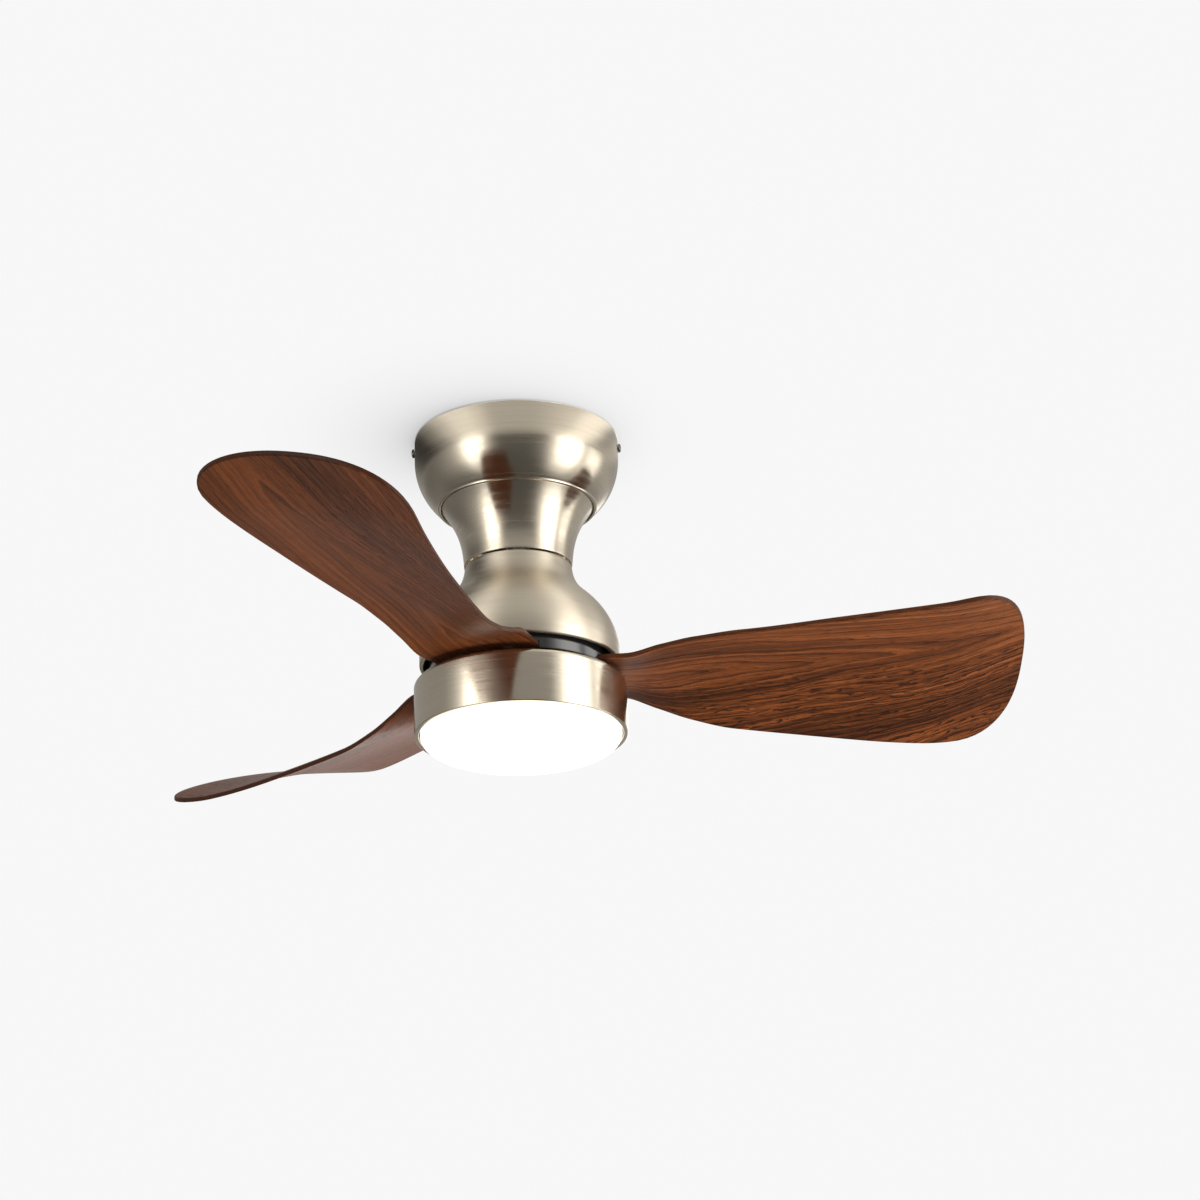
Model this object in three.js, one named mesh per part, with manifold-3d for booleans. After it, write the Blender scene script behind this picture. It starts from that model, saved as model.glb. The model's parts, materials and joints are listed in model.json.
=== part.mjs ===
// A low-profile ceiling fan with a light: three wood-finish blades on a brushless motor, hung from a
// ceiling bracket by a short downrod, with a bowl canopy, a trumpet neck, a motor dome and an opal lamp.
// Millimetres, +Z up. The origin is the centre of the ceiling plane, so the whole fan hangs below z = 0.
import * as THREE from "three";
import { mergeVertices } from "three/addons/utils/BufferGeometryUtils.js";
import Module from "manifold-3d";

const wasm = await Module();
wasm.setup();

// ---------------------------------------------------------------- driving dimensions
const GAP = 0.3; // clearance left between two pieces that touch
const SHEET = 1.2; // spun steel thickness of the covers
const FINE = 32; // facets round a cover
const MIDDLE = 24; // facets round a motor part
const COARSE = 16; // facets round a small piece

const SWEEP_RADIUS = 447.2; // reach of a blade along its own axis
const REST_ANGLE = 1.65; // degrees from +X to the first blade's axis at rest

const CANOPY = { radius: 90.4, wall: 20, bowl: 60, mouth: 70.5, ledge: 67.9, top: -0.5 };
const CANOPY_SCREW_Z = -9;
const NECK = { top: -64.5, bottom: -121, radius: 47.6, topRadius: 67.6, taper: 0.065, power: 2.6 };
const DOME = { top: -122.5, rim: -214, topRadius: 47.1, radius: 87.5, flange: 37 };
const LAMP = { top: -230.1, bottom: -277.7, radius: 92.4, shoulder: 4.5, hem: 4 };
const DIFFUSER = { radius: 87.2, wall: 2, lip: -263.8, shoulder: -276, bottom: -293 };

const PLATE = 2.5; // bracket steel
const BRACKET = { reach: 88.3, width: 44, ear: 16, earDrop: 18, tongue: 20 };
const CRADLE = { halfWidth: 16, outside: 24.5, bottom: -40, hole: 15.5 };
const BALL = { radius: 19, z: -26.2, top: -15, bottom: -41 };
const ROD = { radius: 10.5, bore: 8.6, top: -17, bottom: -150 };
const YOKE = { radius: 15, top: -128, step: -154, bottom: -166 };
const SHAFT = { radius: 7.9, bore: 4.6, top: -156, bottom: -243 };
const CLEVIS_Z = -142;
const PIN_RADIUS = 3;

const ROTOR = { radius: 73, inside: 66, split: -190, bottom: -208.5, bearing: 16.3, lip: 9.5 };
const BEARING = { bore: 8.2, radius: 16, width: 9.4, upper: -171.1, lower: -197.2 };
const STATOR = { top: -184, bottom: -196, tip: 57.5, teeth: 12 };
const HUB = { radius: 80, bore: 12, top: -208.8, seat: -219.3, bottom: -225.5 };

const BLADE_Z = -221.8; // mid height of a blade's flat root
const BLADE_THICK = 4.4;
const BLADE_SCREWS = [[50, 4], [66, -18], [66, 26]]; // along and across a blade's root

// A blade along its axis: plan of both edges, pitch in degrees, rise of the mid-line, and camber.
const BLADE_LEAD = [[38, -42], [80, -45], [100, -46.6], [180, -48.8], [280, -55.6], [360, -59.8], [448, -61]];
const BLADE_TRAIL = [[38, 50], [80, 55.5], [120, 61.6], [180, 74.4], [280, 101.2], [360, 125.7], [448, 153]];
const BLADE_PITCH = [[38, 0], [90, 0], [120, 8.4], [150, 15.2], [190, 18.8], [280, 18.7], [448, 16.1]];
const BLADE_RISE = [[38, 0], [90, 0], [180, -2.7], [280, 0.5], [360, 5.6], [448, 23.5]];
const BLADE_CAMBER = [[38, 0], [100, 0], [200, 8], [448, 10]];
const TIP = { start: 385, across: 58, lead: [2.4, 2.2], trail: [2.4, 2.7] };

// ---------------------------------------------------------------- materials
const metal = (color, roughness) => new THREE.MeshStandardMaterial({ color, roughness, metalness: 1 });
const plain = (color, roughness) => new THREE.MeshStandardMaterial({ color, roughness, metalness: 0 });
const MATERIAL = {
  nickel: metal(0xb9ad98, 0.28),
  steel: metal(0xa9abad, 0.4),
  zinc: metal(0xc4c6c8, 0.35),
  black: plain(0x141414, 0.3),
  walnut: plain(0x5e3421, 0.35),
  opal: plain(0xffffff, 0.4),
  whitePlastic: plain(0xe9e9e6, 0.5),
  greyPlastic: plain(0x3c3d40, 0.6),
  white: plain(0xf4f4f2, 0.4),
  copper: metal(0xb4673a, 0.35),
  magnet: plain(0x2e2c2b, 0.7),
  cable: plain(0x1d1d1f, 0.6),
};

// ---------------------------------------------------------------- solid helpers
function solidOf(geometry) {
  const bare = geometry.index ? geometry.toNonIndexed() : geometry.clone();
  bare.deleteAttribute("normal");
  bare.deleteAttribute("uv");
  const merged = mergeVertices(bare, 1e-4);
  return new wasm.Manifold(
    new wasm.Mesh({
      numProp: 3,
      vertProperties: merged.attributes.position.array,
      triVerts: new Uint32Array(merged.index.array),
    }),
  );
}

function geometryOf(solid) {
  const mesh = solid.getMesh();
  const geometry = new THREE.BufferGeometry();
  geometry.setAttribute("position", new THREE.BufferAttribute(mesh.vertProperties, 3));
  geometry.setIndex(new THREE.BufferAttribute(mesh.triVerts, 1));
  geometry.computeVertexNormals();
  return geometry;
}

// A closed outline of [radius, z] points turned round the Z axis. An outline that starts and ends on
// the axis is left open there, and any other is closed on itself.
function turned(outline, facets = FINE) {
  let points = outline.map(([r, z]) => new THREE.Vector2(r, z));
  if (THREE.ShapeUtils.area(points) < 0) points.reverse();
  const first = points[0];
  if (!(first.x === 0 && points[points.length - 1].x === 0)) points = [...points, first.clone()];
  return new THREE.LatheGeometry(points, facets).rotateX(Math.PI / 2);
}

function tube(outer, inner, top, bottom, facets = COARSE) {
  return turned([[inner, bottom], [outer, bottom], [outer, top], [inner, top]], facets);
}

function rod(radius, top, bottom, facets = COARSE) {
  return turned([[0, bottom], [radius, bottom], [radius, top], [0, top]], facets);
}

// A box given by its low and high corners.
function block(low, high) {
  const size = high.map((h, i) => h - low[i]);
  return new THREE.BoxGeometry(...size).translate(...low.map((l, i) => l + size[i] / 2));
}

function join(...geometries) {
  return geometryOf(geometries.map(solidOf).reduce((a, b) => a.add(b)));
}

function cut(body, ...tools) {
  return geometryOf(tools.map(solidOf).reduce((a, b) => a.subtract(b), solidOf(body)));
}

// A screw along -Z with its head's underside at the origin: pan head above, shank below.
function screw(headRadius, headHeight, shankRadius, length, facets = 8) {
  return turned(
    [
      [0, -length],
      [shankRadius, -length],
      [shankRadius, 0],
      [headRadius, 0],
      [headRadius, headHeight * 0.55],
      [headRadius * 0.62, headHeight],
      [0, headHeight],
    ],
    facets,
  );
}

// Smooth value at x through [x, value] knots, by cubic pieces whose slopes never overshoot.
function smooth(knots, x) {
  const last = knots.length - 1;
  if (x <= knots[0][0]) return knots[0][1];
  if (x >= knots[last][0]) return knots[last][1];
  const i = knots.findIndex((k) => k[0] > x) - 1;
  const secant = (j) => (knots[j + 1][1] - knots[j][1]) / (knots[j + 1][0] - knots[j][0]);
  const slope = (j) => {
    if (j === 0) return secant(0);
    if (j === last) return secant(last - 1);
    const [a, b] = [secant(j - 1), secant(j)];
    return a * b <= 0 ? 0 : (2 * a * b) / (a + b);
  };
  const [x0, y0] = knots[i];
  const [x1, y1] = knots[i + 1];
  const h = x1 - x0;
  const t = (x - x0) / h;
  return (
    y0 * (1 + 2 * t) * (1 - t) ** 2 +
    slope(i) * h * t * (1 - t) ** 2 +
    y1 * t * t * (3 - 2 * t) +
    slope(i + 1) * h * t * t * (t - 1)
  );
}

// ---------------------------------------------------------------- the scene graph
const fan = new THREE.Group();
const rotor = new THREE.Group();
rotor.rotation.z = THREE.MathUtils.degToRad(REST_ANGLE);
fan.add(rotor);

function add(parent, name, geometry, material) {
  const mesh = new THREE.Mesh(geometry, material);
  mesh.name = name;
  parent.add(mesh);
  return mesh;
}

const polar = (radius, degrees) => {
  const a = THREE.MathUtils.degToRad(degrees);
  return [radius * Math.cos(a), radius * Math.sin(a)];
};

// ---------------------------------------------------------------- ceiling bracket and its parts
function ceilingBracket() {
  const { reach, width, ear, earDrop, tongue } = BRACKET;
  const half = width / 2;
  const leg = CRADLE.outside - PLATE;
  const sheetMetal = join(
    block([-reach + 2, -half, -PLATE], [reach - 2, half, 0]),
    block([-reach, -ear / 2, -earDrop], [-reach + PLATE, ear / 2, 0]),
    block([reach - PLATE, -ear / 2, -earDrop], [reach, ear / 2, 0]),
    block([-tongue, half - 1, -PLATE], [tongue, 56, 0]),
    block([-tongue, -46, -PLATE], [tongue, -half + 1, 0]),
    block([-CRADLE.halfWidth, leg, CRADLE.bottom], [CRADLE.halfWidth, CRADLE.outside, -1]),
    block([-CRADLE.halfWidth, -CRADLE.outside, CRADLE.bottom], [CRADLE.halfWidth, -leg, -1]),
    block(
      [-CRADLE.halfWidth - 2, -CRADLE.outside, CRADLE.bottom],
      [CRADLE.halfWidth + 2, CRADLE.outside, CRADLE.bottom + PLATE],
    ),
  );
  const slot = (x) => block([x - 8, -2.75, -5], [x + 8, 2.75, 5]);
  const screwHole = rod(2.3, 200, -200, 10).rotateY(Math.PI / 2).translate(0, 0, CANOPY_SCREW_Z);
  const corner = (x, y) => rod(9, 5, -5, 4).rotateZ(Math.PI / 4).translate(x, y, 0);
  return cut(
    sheetMetal,
    slot(-38),
    slot(38),
    screwHole,
    rod(CRADLE.hole, CRADLE.bottom + 5, CRADLE.bottom - 5, 24),
    corner(reach, half + 2),
    corner(reach, -half - 2),
    corner(-reach, half + 2),
    corner(-reach, -half - 2),
  );
}
add(fan, "ceiling_bracket", ceilingBracket(), MATERIAL.zinc);

// A three-pole terminal block under one tongue, and the remote receiver under the other.
const pole = (x) => block([x - 4.6, -42, -19], [x + 4.6, -32, -12]);
const terminals = join(block([-18, -45, -13], [18, -29, -PLATE - GAP]), pole(-12), pole(0), pole(12));
add(fan, "terminal_block", terminals, MATERIAL.whitePlastic);

const RECEIVER = { low: [-42, 27, -24], high: [42, 57, -PLATE - GAP] };
const receiverEar = (x) => block([x - 5, 34, -7], [x + 5, 50, -PLATE - GAP]);
const receiverBox = join(block(RECEIVER.low, RECEIVER.high), receiverEar(-46), receiverEar(46));
add(fan, "receiver", receiverBox, MATERIAL.greyPlastic);

// ---------------------------------------------------------------- hanger ball, downrod and pins
const pinHole = (z) => rod(PIN_RADIUS + GAP, 60, -60, 12).rotateY(Math.PI / 2).translate(0, 0, z);

function hangerBall() {
  const outline = [[ROD.radius + GAP, BALL.top]];
  const steps = 6;
  const up = Math.asin((BALL.top - BALL.z) / BALL.radius);
  const down = Math.asin((BALL.bottom - BALL.z) / BALL.radius);
  for (let i = 0; i <= steps; i++) {
    const a = up + ((down - up) * i) / steps;
    outline.push([BALL.radius * Math.cos(a), BALL.z + BALL.radius * Math.sin(a)]);
  }
  outline.push([ROD.radius + GAP, BALL.bottom]);
  return cut(turned(outline, 20), pinHole(BALL.z));
}
add(fan, "hanger_ball", hangerBall(), MATERIAL.black);

const rodTube = cut(tube(ROD.radius, ROD.bore, ROD.top, ROD.bottom, 20), pinHole(BALL.z), pinHole(CLEVIS_Z));
add(fan, "downrod", rodTube, MATERIAL.zinc);

const ballPin = rod(PIN_RADIUS, 15, -15, 12).rotateY(Math.PI / 2).translate(0, 0, BALL.z);
add(fan, "ball_pin", ballPin, MATERIAL.steel);

// ---------------------------------------------------------------- canopy, its screws and the neck
function canopyShell() {
  const { radius, wall, bowl, mouth, ledge, top } = CANOPY;
  const centre = radius - bowl;
  const arc = (r, from, to, steps) =>
    Array.from({ length: steps + 1 }, (_, i) => {
      const a = from + ((to - from) * i) / steps;
      return [centre + r * Math.cos(a), -wall - r * Math.sin(a)];
    });
  const end = Math.acos((mouth - centre) / bowl);
  const steps = 5;
  const lip = -wall - bowl * Math.sin(end);
  const outside = arc(bowl, 0, end, steps);
  const inside = arc(bowl - SHEET, end * 0.97, 0, steps);
  const floor = lip - 1.3;
  return turned([
    [radius, top],
    ...outside,
    [mouth - 0.6, floor + 0.3],
    [mouth - 1.2, floor],
    [ledge, floor],
    [ledge, floor + SHEET],
    [mouth - 0.6, floor + SHEET],
    ...inside,
    [radius - SHEET, top],
  ]);
}
const canopyBore = rod(2.4, 200, -200, 10).rotateY(Math.PI / 2).translate(0, 0, CANOPY_SCREW_Z);
add(fan, "canopy", cut(canopyShell(), canopyBore), MATERIAL.nickel);

for (const [side, sign] of [["left", -1], ["right", 1]]) {
  const canopyScrew = screw(4, 2.6, 2, 9, 12);
  canopyScrew.rotateY((sign * Math.PI) / 2).translate(sign * (CANOPY.radius + GAP), 0, CANOPY_SCREW_Z);
  add(fan, "canopy_screw_" + side, canopyScrew, MATERIAL.nickel);
}

// The neck's outside radius at a height: a slight taper, with a flare that grows towards the top.
function neckRadius(z) {
  const rise = z - NECK.bottom;
  const full = NECK.top - NECK.bottom;
  const flare = NECK.topRadius - NECK.radius - NECK.taper * full;
  return NECK.radius + NECK.taper * rise + flare * (rise / full) ** NECK.power;
}
function neckCover() {
  const heights = [0, 0.3, 0.55, 0.75, 0.9, 0.99].map((s) => NECK.bottom + s * 56.5);
  const outside = heights.map((z) => [neckRadius(z), z]);
  const inside = heights.map((z) => [neckRadius(z) - SHEET, z]).reverse();
  const flangeTop = NECK.top + 1.4;
  return turned([
    ...outside,
    [NECK.topRadius, NECK.top + GAP],
    [69.6, NECK.top + GAP],
    [69.6, flangeTop],
    [NECK.topRadius - SHEET - 1, flangeTop],
    ...inside,
  ]);
}
add(fan, "neck_cover", neckCover(), MATERIAL.nickel);

// ---------------------------------------------------------------- motor dome and what carries it
function domeShell() {
  const { top, rim, topRadius, radius, flange } = DOME;
  const v = (x, y) => new THREE.Vector2(x, y);
  const waist = v(63, -153.5);
  const throat = new THREE.CubicBezierCurve(v(topRadius, top), v(48.2, -138), v(54.5, -145.8), waist);
  const belly = new THREE.CubicBezierCurve(waist, v(73, -162.6), v(radius, -180), v(radius, -207));
  const line = [...throat.getPoints(4), ...belly.getPoints(6).slice(1)];
  const outside = line.map((p) => [p.x, p.y]);
  const inside = line.map((p, i) => {
    const a = line[Math.max(0, i - 1)];
    const b = line[Math.min(line.length - 1, i + 1)];
    const along = b.clone().sub(a).normalize();
    return [p.x + SHEET * along.y, p.y - SHEET * along.x];
  });
  inside[0] = [topRadius - SHEET, top - SHEET - 0.1];
  return turned([
    ...outside,
    [radius, rim],
    [radius - SHEET, rim],
    ...inside.reverse(),
    [flange, top - SHEET - 0.1],
    [flange, top],
  ]);
}
const DOME_SCREWS = { radius: 40.5, angles: [90, 210, 330] };
const downHole = (radius, x, y, top, bottom) => rod(radius, top, bottom, 10).translate(x, y, 0);
const domeHoles = DOME_SCREWS.angles.map((a) => downHole(2, ...polar(DOME_SCREWS.radius, a), -115, -135));
add(fan, "motor_dome", cut(domeShell(), ...domeHoles), MATERIAL.nickel);

const carrierTop = DOME.top - SHEET - 0.1 - GAP;
const setScrewZ = carrierTop + 4;
const carrier = turned([
  [ROD.radius + GAP, carrierTop - 1.8],
  [43.5, carrierTop - 1.8],
  [43.5, carrierTop],
  [16, carrierTop],
  [16, carrierTop + 8],
  [ROD.radius + GAP, carrierTop + 8],
], 24);
const setScrewHole = rod(2.2, 30, 5, 10).rotateX(-Math.PI / 2).translate(0, 0, setScrewZ);
add(fan, "dome_carrier", cut(carrier, setScrewHole, ...domeHoles), MATERIAL.zinc);

const setScrew = rod(1.9, 18, ROD.radius + GAP, 10).rotateX(-Math.PI / 2).translate(0, 0, setScrewZ);
add(fan, "carrier_set_screw", setScrew, MATERIAL.steel);

DOME_SCREWS.angles.forEach((a, i) => {
  const [x, y] = polar(DOME_SCREWS.radius, a);
  const domeScrew = screw(3, 2, 1.6, 7).translate(x, y, DOME.top + GAP);
  add(fan, `dome_screw_${i + 1}`, domeScrew, MATERIAL.steel);
});

// ---------------------------------------------------------------- yoke, clevis and shaft
const yokeBody = turned([
  [ROD.radius + GAP, YOKE.top],
  [YOKE.radius, YOKE.top],
  [YOKE.radius, YOKE.bottom],
  [SHAFT.radius + GAP, YOKE.bottom],
  [SHAFT.radius + GAP, YOKE.step],
  [ROD.radius + GAP, YOKE.step],
], 20);
add(fan, "motor_yoke", cut(yokeBody, pinHole(CLEVIS_Z)), MATERIAL.black);

const COTTER_X = 17.2;
const clevisPin = join(
  rod(PIN_RADIUS, 20, -16, 12).rotateY(Math.PI / 2),
  rod(4.4, -15.4, -18, 12).rotateY(Math.PI / 2),
).translate(0, 0, CLEVIS_Z);
const cotterHole = rod(1.2, 20, -20, 8).translate(COTTER_X, 0, CLEVIS_Z);
add(fan, "clevis_pin", cut(clevisPin, cotterHole), MATERIAL.steel);

const cotter = join(
  rod(0.8, 5, -6, 8),
  new THREE.TorusGeometry(1.9, 0.7, 5, 10).rotateY(Math.PI / 2).translate(0, 0, 6.2),
).translate(COTTER_X, 0, CLEVIS_Z);
add(fan, "cotter_pin", cotter, MATERIAL.steel);

add(fan, "motor_shaft", tube(SHAFT.radius, SHAFT.bore, SHAFT.top, SHAFT.bottom, 20), MATERIAL.steel);

// ---------------------------------------------------------------- stator
function statorCore() {
  const { teeth, tip, top, bottom } = STATOR;
  const shape = new THREE.Shape();
  const pitch = 360 / teeth;
  for (let i = 0; i < teeth; i++) {
    const a = i * pitch;
    const tooth = [
      [24, -pitch / 2],
      [24, -7.5],
      [52, -3.4],
      [54, -11.5],
      [tip, -12],
      [tip, 0],
      [tip, 12],
      [54, 11.5],
      [52, 3.4],
      [24, 7.5],
    ];
    for (const [r, offset] of tooth) {
      const [x, y] = polar(r, a + offset);
      if (shape.curves.length || shape.currentPoint.lengthSq()) shape.lineTo(x, y);
      else shape.moveTo(x, y);
    }
  }
  shape.closePath();
  shape.holes.push(new THREE.Path().absarc(0, 0, SHAFT.radius + GAP, 0, 2 * Math.PI));
  const depth = top - bottom;
  const options = { depth, bevelEnabled: false, curveSegments: 10 };
  return new THREE.ExtrudeGeometry(shape, options).translate(0, 0, bottom);
}
add(fan, "stator_core", statorCore(), MATERIAL.steel);

function statorWinding() {
  const { teeth, top, bottom } = STATOR;
  const reach = 3.6;
  const coils = [tube(33, 29, top + reach + 0.8, top + reach - 0.4, 24)];
  for (let i = 0; i < teeth; i++) {
    const a = (i * 2 * Math.PI) / teeth;
    const coil = cut(
      block([27.5, -6.4, bottom - reach], [50, 6.4, top + reach]),
      block([20, -3.9, bottom - GAP], [60, 3.9, top + GAP]),
    );
    coils.push(coil.rotateZ(a));
  }
  return join(...coils);
}
add(fan, "stator_winding", statorWinding(), MATERIAL.copper);

// ---------------------------------------------------------------- rotor
const ROTOR_SCREWS = { radius: 71, angles: [0, 120, 240], boss: 4.5 };
function withScrewBosses(cap, top, bottom) {
  const { radius, angles, boss } = ROTOR_SCREWS;
  const spots = angles.map((a) => polar(radius, a));
  const bosses = spots.map(([x, y]) => rod(boss, top, bottom, 12).translate(x, y, 0));
  const holes = spots.map(([x, y]) => downHole(2.1, x, y, -170, -203.4));
  const sinks = spots.map(([x, y]) => downHole(3.7, x, y, -160, -180));
  const core = rod(ROTOR.inside, -160, ROTOR.bottom + 4, MIDDLE);
  return cut(join(cap, ...bosses.map((b) => cut(b, core))), ...holes, ...sinks);
}
const topCap = turned([
  [ROTOR.lip, -169],
  [22, -169],
  [30, -171],
  [60, -173],
  [69, -177],
  [ROTOR.radius, -182],
  [ROTOR.radius, ROTOR.split],
  [ROTOR.inside, ROTOR.split],
  [ROTOR.inside, -182],
  [60, -177.5],
  [30, -175],
  [22, -175],
  [22, -181.5],
  [ROTOR.bearing, -181.5],
  [ROTOR.bearing, -170.8],
  [ROTOR.lip, -170.8],
], MIDDLE);
add(rotor, "rotor_top_cap", withScrewBosses(topCap, -180, ROTOR.split), MATERIAL.black);

const HUB_SCREWS = { radius: 64, angles: [66, 186, 306] };
const hubHole = (radius, top, bottom) =>
  HUB_SCREWS.angles.map((a) => downHole(radius, ...polar(HUB_SCREWS.radius, a), top, bottom));
const bottomCap = turned([
  [ROTOR.radius, ROTOR.split - GAP],
  [ROTOR.radius, ROTOR.bottom],
  [ROTOR.lip, ROTOR.bottom],
  [ROTOR.lip, -206.9],
  [ROTOR.bearing, -206.9],
  [ROTOR.bearing, -196.5],
  [22, -196.5],
  [22, ROTOR.bottom + 4],
  [ROTOR.inside, ROTOR.bottom + 4],
  [ROTOR.inside, ROTOR.split - GAP],
], MIDDLE);
const bottomShell = withScrewBosses(bottomCap, ROTOR.split - GAP, -204);
add(rotor, "rotor_bottom_cap", cut(bottomShell, ...hubHole(2.2, -200, -212)), MATERIAL.black);

ROTOR_SCREWS.angles.forEach((a, i) => {
  const [x, y] = polar(ROTOR_SCREWS.radius, a);
  add(rotor, `rotor_screw_${i + 1}`, screw(3.2, 2.4, 1.7, 21).translate(x, y, -180 + GAP), MATERIAL.steel);
});

add(rotor, "magnet_ring", tube(ROTOR.inside - 0.4, 58.5, -183, -200, MIDDLE), MATERIAL.magnet);

function bearing(top) {
  const { bore, radius, width } = BEARING;
  const groove = 0.8;
  return turned([
    [bore, top - width],
    [radius, top - width],
    [radius, top],
    [radius - 2, top],
    [radius - 2.4, top - groove],
    [bore + 2.4, top - groove],
    [bore + 2, top],
    [bore, top],
  ], COARSE);
}
add(rotor, "upper_bearing", bearing(BEARING.upper), MATERIAL.steel);
add(rotor, "lower_bearing", bearing(BEARING.lower), MATERIAL.steel);

// ---------------------------------------------------------------- blades
// How far a blade's edge is in from its straight line towards the rounded tip.
function tipShare(along, [inner, outer]) {
  const u = (along - TIP.start) / (SWEEP_RADIUS - TIP.start);
  return u <= 0 ? 1 : (1 - Math.min(1, u) ** inner) ** (1 / outer);
}

function bladeEdges(along) {
  const lead = TIP.across + (smooth(BLADE_LEAD, along) - TIP.across) * tipShare(along, TIP.lead);
  const trail = TIP.across + (smooth(BLADE_TRAIL, along) - TIP.across) * tipShare(along, TIP.trail);
  return [lead, trail];
}

// Height of the blade's middle surface at a place in plan.
function bladeHeight(along, across) {
  const lead = smooth(BLADE_LEAD, along);
  const trail = smooth(BLADE_TRAIL, along);
  const middle = (lead + trail) / 2;
  const w = (across - middle) / ((trail - lead) / 2);
  const pitch = Math.tan(THREE.MathUtils.degToRad(smooth(BLADE_PITCH, along)));
  const camber = smooth(BLADE_CAMBER, along) * (1 - w * w);
  return BLADE_Z + smooth(BLADE_RISE, along) - (across - middle) * pitch + camber;
}

function bladeBody() {
  const fromTip = [67, 47, 32, 20, 11, 5, 1.6, 0.3].map((x) => SWEEP_RADIUS - x);
  const stations = [38, 60, 82, 96, 110, 124, 140, 160, 185, 225, 275, 330, ...fromTip];
  const rows = [-1, -0.55, 0, 0.55, 1];
  const half = BLADE_THICK / 2;
  const chamfer = 1.2;
  const rings = stations.map((along) => {
    const [lead, trail] = bladeEdges(along);
    const middle = (lead + trail) / 2;
    const reach = (trail - lead) / 2;
    const at = (across, lift) => [along, across, bladeHeight(along, across) + lift];
    const top = rows.map((w) => at(middle + w * (reach - chamfer), half));
    const bottom = rows.map((w) => at(middle - w * (reach - chamfer), -half));
    return [
      ...top,
      at(trail, half - chamfer),
      at(trail, chamfer - half),
      ...bottom,
      at(lead, chamfer - half),
      at(lead, half - chamfer),
    ];
  });
  const count = rings[0].length;
  const positions = rings.flat(2);
  const index = [];
  for (let s = 0; s + 1 < rings.length; s++) {
    for (let i = 0; i < count; i++) {
      const [a, b] = [s * count + i, s * count + ((i + 1) % count)];
      index.push(a, a + count, b, b, a + count, b + count);
    }
  }
  const last = (rings.length - 1) * count;
  for (let i = 1; i + 1 < count; i++) {
    index.push(0, i, i + 1);
    index.push(last, last + i + 1, last + i);
  }
  const geometry = new THREE.BufferGeometry();
  geometry.setAttribute("position", new THREE.Float32BufferAttribute(positions, 3));
  geometry.setIndex(index);
  return geometry;
}

const bladeHoles = (radius, top, bottom) => BLADE_SCREWS.map(([x, y]) => downHole(radius, x, y, top, bottom));
const blade = cut(bladeBody(), ...bladeHoles(2.6, -210, -235));

// The root's plan, grown by a clearance: the hub has one seat of this shape for each blade.
function bladeSeat(clearance) {
  const shape = new THREE.Shape();
  const stations = [38 - clearance, 60, 80, 110];
  const corners = [
    ...stations.map((x) => [x, smooth(BLADE_LEAD, x) - clearance]),
    ...stations.reverse().map((x) => [x, smooth(BLADE_TRAIL, x) + clearance]),
  ];
  shape.setFromPoints(corners.map(([x, y]) => new THREE.Vector2(x, y)));
  return new THREE.ExtrudeGeometry(shape, { depth: 20, bevelEnabled: false }).translate(0, 0, HUB.seat - 20);
}

function bladeHub() {
  const disc = turned([
    [HUB.bore, HUB.top],
    [HUB.radius - 1, HUB.top],
    [HUB.radius, HUB.top - 1],
    [HUB.radius, HUB.bottom + 1.5],
    [HUB.radius - 1.5, HUB.bottom],
    [HUB.bore, HUB.bottom],
  ]);
  const seats = [0, 120, 240].map((a) => bladeSeat(0.5).rotateZ(THREE.MathUtils.degToRad(a)));
  const holes = [0, 120, 240].flatMap((a) =>
    bladeHoles(2.6, -211.5, -235).map((h) => h.rotateZ(THREE.MathUtils.degToRad(a))),
  );
  return cut(disc, ...seats, ...holes, ...hubHole(2.2, -200, -235));
}
add(rotor, "blade_hub", bladeHub(), MATERIAL.black);

HUB_SCREWS.angles.forEach((a, i) => {
  const [x, y] = polar(HUB_SCREWS.radius, a);
  const hubScrew = screw(3.8, 2.2, 1.9, 20.4).rotateX(Math.PI).translate(x, y, HUB.bottom - GAP);
  add(rotor, `hub_screw_${i + 1}`, hubScrew, MATERIAL.steel);
});

[0, 120, 240].forEach((angle, i) => {
  const arm = new THREE.Group();
  arm.rotation.z = THREE.MathUtils.degToRad(angle);
  rotor.add(arm);
  add(arm, `blade_${i + 1}`, blade.clone(), MATERIAL.walnut);
  BLADE_SCREWS.forEach(([x, y], j) => {
    const under = BLADE_Z - BLADE_THICK / 2 - GAP;
    const bladeScrew = screw(4, 2.6, 2.2, 12).rotateX(Math.PI).translate(x, y, under);
    add(arm, `blade_${i + 1}_screw_${j + 1}`, bladeScrew, MATERIAL.steel);
  });
});

// ---------------------------------------------------------------- lamp
const bracketTop = LAMP.top - SHEET - GAP;
const bracketBottom = bracketTop - 2.5;
const LAMP_SCREWS = { radius: 45, angles: [0, 120, 240] };
const lampHoles = LAMP_SCREWS.angles.map((a) => downHole(2.2, ...polar(LAMP_SCREWS.radius, a), -225, -240));

const housing = turned([
  [22, LAMP.top],
  [LAMP.radius - LAMP.shoulder, LAMP.top],
  [LAMP.radius - 1.4, LAMP.top - 1.2],
  [LAMP.radius, LAMP.top - LAMP.shoulder],
  [LAMP.radius, LAMP.bottom + 0.6],
  [LAMP.radius - 0.6, LAMP.bottom],
  [LAMP.radius - LAMP.hem, LAMP.bottom],
  [LAMP.radius - LAMP.hem, LAMP.bottom + 1.5],
  [LAMP.radius - SHEET, LAMP.bottom + 1.5],
  [LAMP.radius - SHEET, LAMP.top - LAMP.shoulder - 0.4],
  [LAMP.radius - 2.4, LAMP.top - 2.1],
  [LAMP.radius - LAMP.shoulder - 0.4, LAMP.top - SHEET],
  [22, LAMP.top - SHEET],
]);
add(fan, "lamp_housing", cut(housing, ...lampHoles), MATERIAL.nickel);

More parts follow.
